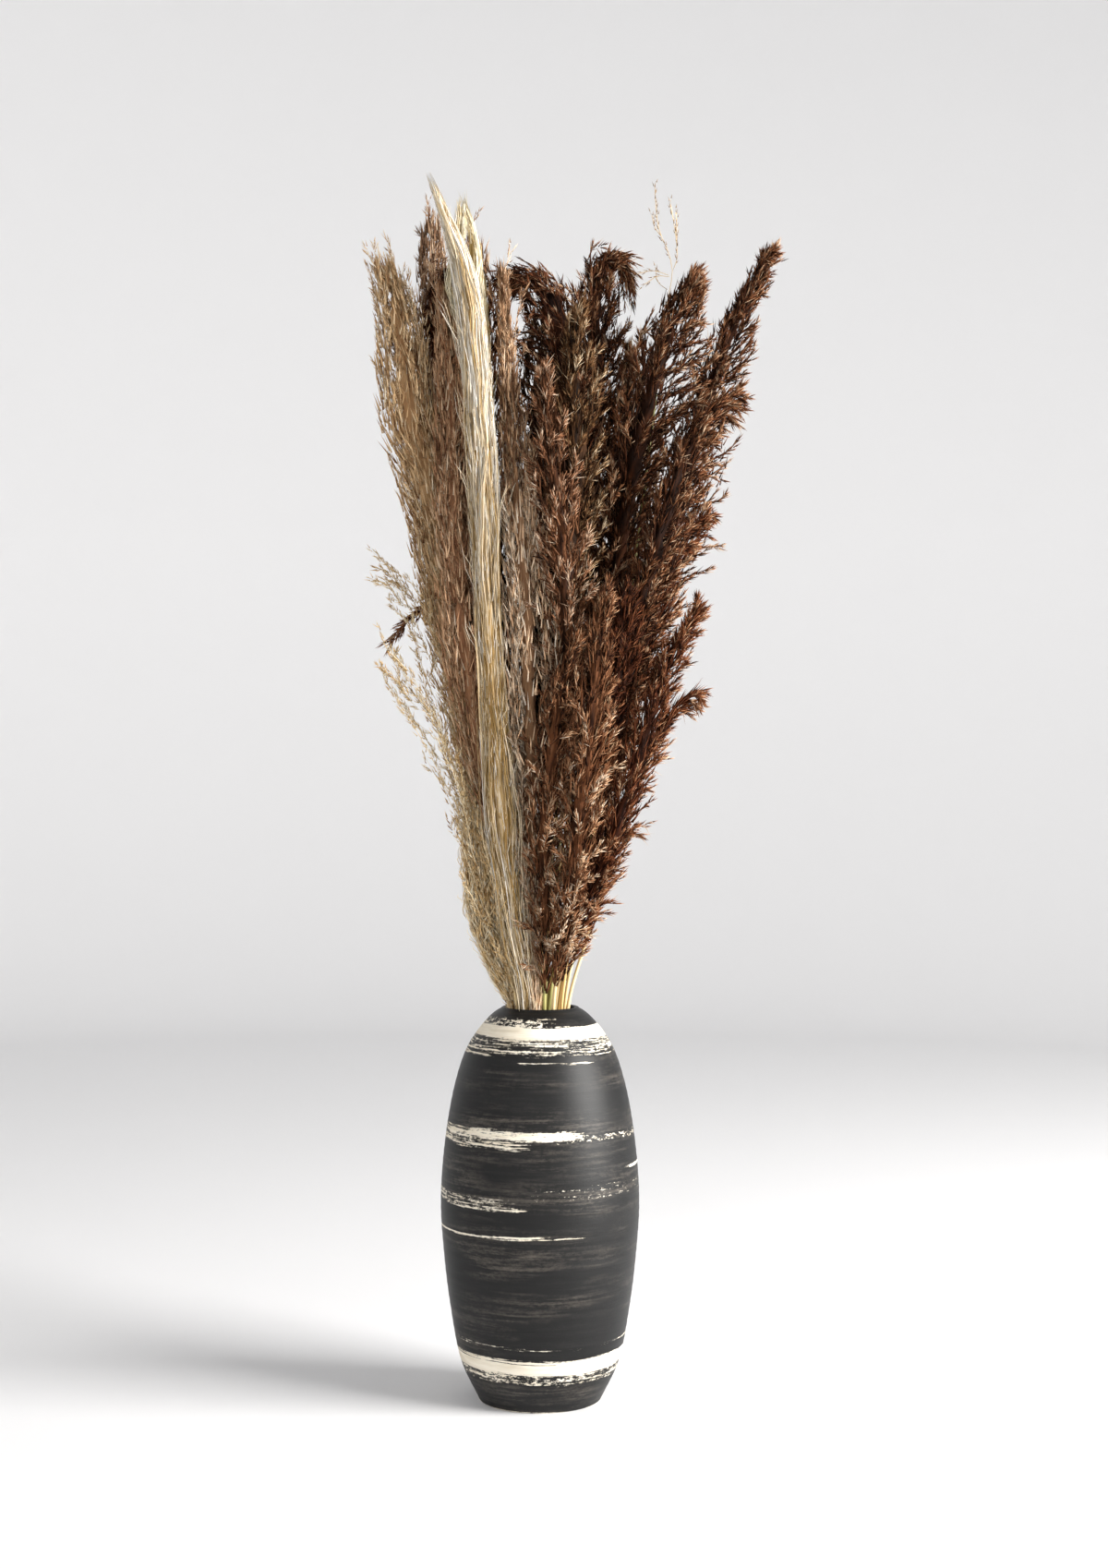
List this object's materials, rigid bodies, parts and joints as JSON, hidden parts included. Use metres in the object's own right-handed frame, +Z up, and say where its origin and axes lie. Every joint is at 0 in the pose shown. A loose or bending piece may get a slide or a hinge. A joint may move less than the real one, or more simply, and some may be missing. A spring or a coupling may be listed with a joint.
{
  "type": "dried pampas grass in vase",
  "caption": "Tall round-shouldered stoneware vase holding a loose upright bunch of dried pampas, silver grass and reed plumes.",
  "frame": {"origin": "centre of the vase's flat foot, on the surface it stands on", "axes": "+Z up the vase's turned axis, -Y the front, +X to the right seen from the front"},
  "size_m": [0.3646, 0.2317, 1.09],
  "materials": {
    "stoneware": "matte",
    "straw": "satin",
    "tan_plume": "matte",
    "taupe_plume": "matte",
    "cream_plume": "matte",
    "brown_plume": "matte",
    "wisp_plume": "matte"
  },
  "bodies": {
    "root": {"vase": "stoneware", "brown_plume_01": "brown_plume", "brown_plume_02": "brown_plume", "brown_plume_03": "brown_plume", "brown_plume_04": "brown_plume", "brown_plume_05": "brown_plume", "brown_plume_06": "brown_plume", "brown_plume_07": "brown_plume", "brown_plume_08": "brown_plume", "brown_plume_09": "brown_plume", "brown_plume_10": "brown_plume", "brown_plume_11": "brown_plume", "brown_plume_12": "brown_plume", "brown_plume_13": "brown_plume", "brown_plume_14": "brown_plume", "brown_plume_15": "brown_plume", "brown_plume_16": "brown_plume", "brown_plume_17": "brown_plume", "brown_stem_01": "straw", "brown_stem_02": "straw", "brown_stem_03": "straw", "brown_stem_04": "straw", "brown_stem_05": "straw", "brown_stem_06": "straw", "brown_stem_07": "straw", "brown_stem_08": "straw", "brown_stem_09": "straw", "brown_stem_10": "straw", "brown_stem_11": "straw", "brown_stem_12": "straw", "brown_stem_13": "straw", "brown_stem_14": "straw", "brown_stem_15": "straw", "brown_stem_16": "straw", "brown_stem_17": "straw", "cream_plume_01": "cream_plume", "cream_plume_02": "cream_plume", "cream_stem_01": "straw", "cream_stem_02": "straw", "tan_plume_01": "tan_plume", "tan_plume_02": "tan_plume", "tan_plume_03": "tan_plume", "tan_plume_04": "tan_plume", "tan_plume_05": "tan_plume", "tan_plume_06": "tan_plume", "tan_stem_01": "straw", "tan_stem_02": "straw", "tan_stem_03": "straw", "tan_stem_04": "straw", "tan_stem_05": "straw", "tan_stem_06": "straw", "taupe_plume_01": "taupe_plume", "taupe_plume_02": "taupe_plume", "taupe_plume_03": "taupe_plume", "taupe_stem_01": "straw", "taupe_stem_02": "straw", "taupe_stem_03": "straw", "wisp_plume_01": "wisp_plume", "wisp_stem_01": "straw"}
  },
  "joints": []
}
